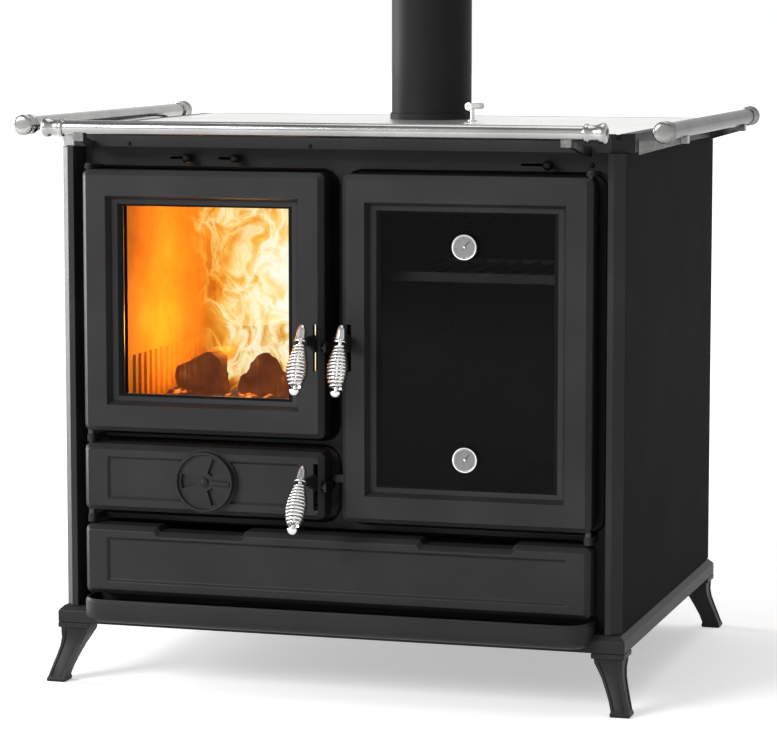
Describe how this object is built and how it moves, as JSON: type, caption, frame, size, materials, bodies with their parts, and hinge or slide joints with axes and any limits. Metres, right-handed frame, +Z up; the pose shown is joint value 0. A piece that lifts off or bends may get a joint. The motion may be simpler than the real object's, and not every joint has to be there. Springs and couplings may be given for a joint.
{
  "type": "wood cookstove",
  "caption": "Free-standing wood-burning cooker with firebox and oven doors, ash door, wood drawer, steel cooking plate, rails and top flue.",
  "frame": {"origin": "middle of the bounding box in plan, at floor level", "axes": "+X to the viewer's right, +Y to the back, +Z up"},
  "size_m": [1.0344, 0.8468, 1.11],
  "materials": {
    "black_casting": "satin black, fine grain",
    "black_sheet": "satin black paint",
    "black_hardware": "black, half gloss",
    "polished_plate": "ground and polished",
    "satin_rail": "satin chrome",
    "spring_grip": "bright wire",
    "chrome_handle": "satin chrome",
    "rack_chrome": "dull chrome",
    "door_glass": "heat-proof glass",
    "thermometer": "bright bezel, grey dial",
    "pan_sheet": "dark sheet steel",
    "firebox_iron": "sooted casting",
    "oven_enamel": "dark enamel"
  },
  "bodies": {
    "stove": {"base_plate": "black_casting", "leg_front_left": "black_casting", "leg_front_right": "black_casting", "leg_rear_left": "black_casting", "leg_rear_right": "black_casting", "hearth_ledge": "black_casting", "side_panel_left": "black_sheet", "side_panel_right": "black_sheet", "back_panel": "black_sheet", "corner_post_left": "black_casting", "corner_post_right": "black_casting", "front_plate": "black_casting", "top_frame": "black_casting", "cooking_plate": "polished_plate", "flue_collar": "black_sheet", "flue_pipe": "black_sheet", "firebox_liner": "firebox_iron", "firebox_grate": "firebox_iron", "ash_box": "oven_enamel", "oven_box": "oven_enamel", "front_rail": "satin_rail", "side_rail_left": "satin_rail", "side_rail_right": "satin_rail", "front_bracket_left": "black_hardware", "front_bracket_right": "black_hardware", "side_bracket_front_left": "black_hardware", "side_bracket_front_right": "black_hardware", "side_bracket_rear_left": "black_hardware", "side_bracket_rear_right": "black_hardware", "fire_hinge_pin": "black_hardware", "oven_hinge_pin": "black_hardware", "ash_hinge_pin": "black_hardware", "catch_middle": "black_hardware", "catch_ash": "black_hardware"},
    "fire_door": {"fire_door_frame": "black_casting", "fire_door_glass": "door_glass", "fire_door_retainer": "black_hardware"},
    "fire_handle": {"fire_latch": "black_hardware", "fire_grip": "spring_grip"},
    "oven_door": {"oven_door_frame": "black_casting", "oven_door_glass": "door_glass", "oven_door_retainer": "black_hardware", "oven_thermometer_upper": "thermometer", "oven_thermometer_lower": "thermometer"},
    "oven_handle": {"oven_latch": "black_hardware", "oven_grip": "spring_grip"},
    "ash_door": {"ash_door_frame": "black_casting"},
    "ash_handle": {"ash_latch": "black_hardware", "ash_grip": "spring_grip"},
    "air_wheel": {"air_wheel": "black_casting"},
    "drawer": {"drawer_front": "black_casting", "drawer_box": "pan_sheet"},
    "ash_pan": {"ash_pan": "pan_sheet"},
    "oven_rack": {"oven_rack": "rack_chrome"},
    "knob_air_left": {"knob_air_left": "black_casting"},
    "knob_air_middle": {"knob_air_middle": "black_casting"},
    "knob_damper": {"knob_damper": "black_casting"},
    "bypass": {"bypass_handle": "chrome_handle", "bypass_flap": "firebox_iron"}
  },
  "joints": [
    {"name": "fire_door_hinge", "type": "hinge", "parent": "stove", "child": "fire_door", "pos_m": [-0.3935, -0.29864, 0.59], "axis": [0, 0, -1], "range_deg": [0, 110]},
    {"name": "oven_door_hinge", "type": "hinge", "parent": "stove", "child": "oven_door", "pos_m": [0.3935, -0.29864, 0.53], "axis": [0, 0, 1], "range_deg": [0, 110]},
    {"name": "ash_door_hinge", "type": "hinge", "parent": "stove", "child": "ash_door", "pos_m": [-0.3935, -0.29864, 0.325], "axis": [0, 0, -1], "range_deg": [0, 110]},
    {"name": "fire_latch_turn", "type": "hinge", "parent": "fire_door", "child": "fire_handle", "pos_m": [-0.0243, -0.30764, 0.5353], "axis": [-1, 0, 0], "range_deg": [0, 36]},
    {"name": "oven_latch_turn", "type": "hinge", "parent": "oven_door", "child": "oven_handle", "pos_m": [0.0283, -0.30764, 0.5367], "axis": [-1, 0, 0], "range_deg": [0, 36]},
    {"name": "ash_latch_turn", "type": "hinge", "parent": "ash_door", "child": "ash_handle", "pos_m": [-0.0243, -0.30764, 0.3235], "axis": [-1, 0, 0], "range_deg": [0, 36]},
    {"name": "air_wheel_turn", "type": "hinge", "parent": "ash_door", "child": "air_wheel", "pos_m": [-0.2005, -0.31664, 0.325], "axis": [0, -1, 0], "range_deg": [0, 48]},
    {"name": "drawer_slide", "type": "slide", "parent": "stove", "child": "drawer", "axis": [0, -1, 0], "range_m": [0, 0.38]},
    {"name": "ash_pan_slide", "type": "slide", "parent": "stove", "child": "ash_pan", "axis": [0, -1, 0], "range_m": [0, 0.144]},
    {"name": "oven_rack_slide", "type": "slide", "parent": "stove", "child": "oven_rack", "axis": [0, -1, 0], "range_m": [0, 0.144]},
    {"name": "air_left_slide", "type": "slide", "parent": "stove", "child": "knob_air_left", "axis": [-1, 0, 0], "range_m": [0, 0.029]},
    {"name": "air_middle_slide", "type": "slide", "parent": "stove", "child": "knob_air_middle", "axis": [-1, 0, 0], "range_m": [0, 0.029]},
    {"name": "damper_slide", "type": "slide", "parent": "stove", "child": "knob_damper", "axis": [-1, 0, 0], "range_m": [0, 0.041]},
    {"name": "bypass_turn", "type": "hinge", "parent": "stove", "child": "bypass", "pos_m": [0.095, 0.14636, 0.86], "axis": [0, 0, 1], "range_deg": [0, 90]}
  ],
  "couplings": [
    {"joint": "ash_pan_slide", "follows": "ash_door_hinge", "m_per_rad": 0.075},
    {"joint": "oven_rack_slide", "follows": "oven_door_hinge", "m_per_rad": 0.075}
  ]
}
